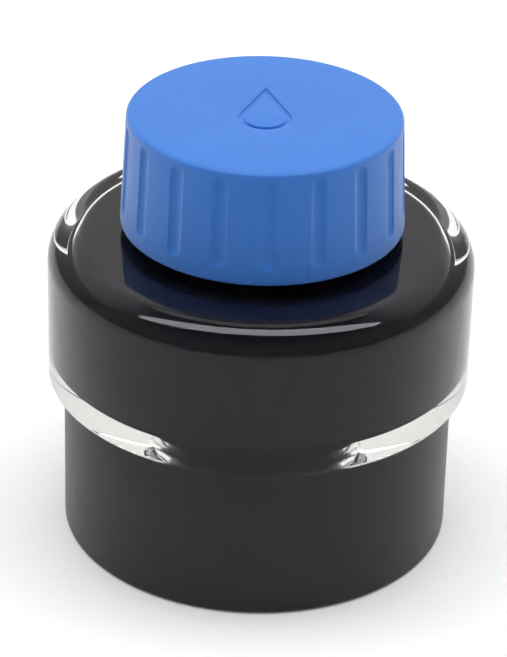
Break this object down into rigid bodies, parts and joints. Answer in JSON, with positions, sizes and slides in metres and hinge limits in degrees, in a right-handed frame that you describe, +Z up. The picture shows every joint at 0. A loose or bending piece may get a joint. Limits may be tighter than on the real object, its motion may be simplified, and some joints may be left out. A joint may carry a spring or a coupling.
{
  "type": "ink bottle",
  "caption": "Round glass ink bottle with a blue screw cap, standing in a narrower black moulded base that holds its residual-ink well.",
  "frame": {"origin": "centre of the base's foot ring, on the surface that the bottle stands on", "axes": "+Z up along the bottle's axis through the cap; -Y is the front, towards the viewer, and +X is to the right"},
  "size_m": [0.0546, 0.0546, 0.0584],
  "materials": {
    "base_plastic": "fine matte moulded black plastic",
    "label_film": "satin white film sticker, blank",
    "clear_glass": "thick clear flint glass, polished",
    "ink": "near-black blue writing ink",
    "liner_foam": "white polyethylene foam with a smooth skin",
    "cap_plastic": "satin blue moulded polypropylene"
  },
  "bodies": {
    "base": {"base_shell": "base_plastic", "base_label": "label_film"},
    "bottle": {"glass_bottle": "clear_glass", "ink_fill": "ink"},
    "cap_seal": {"cap_liner": "liner_foam"},
    "cap": {"cap_shell": "cap_plastic"}
  },
  "joints": [
    {"name": "bottle_lift", "type": "slide", "parent": "base", "child": "bottle", "axis": [0, 0, 1], "range_m": [0, 0.022]},
    {"name": "cap_rise", "type": "slide", "parent": "bottle", "child": "cap_seal", "axis": [0, 0, 1], "range_m": [0, 0.01695]},
    {"name": "cap_turn", "type": "hinge", "parent": "cap_seal", "child": "cap", "pos_m": [0, 0, 0.057], "axis": [0, 0, 1], "range_deg": [0, 1440]}
  ],
  "couplings": [
    {"joint": "cap_rise", "follows": "cap_turn", "m_per_rad": 0.00067375}
  ]
}
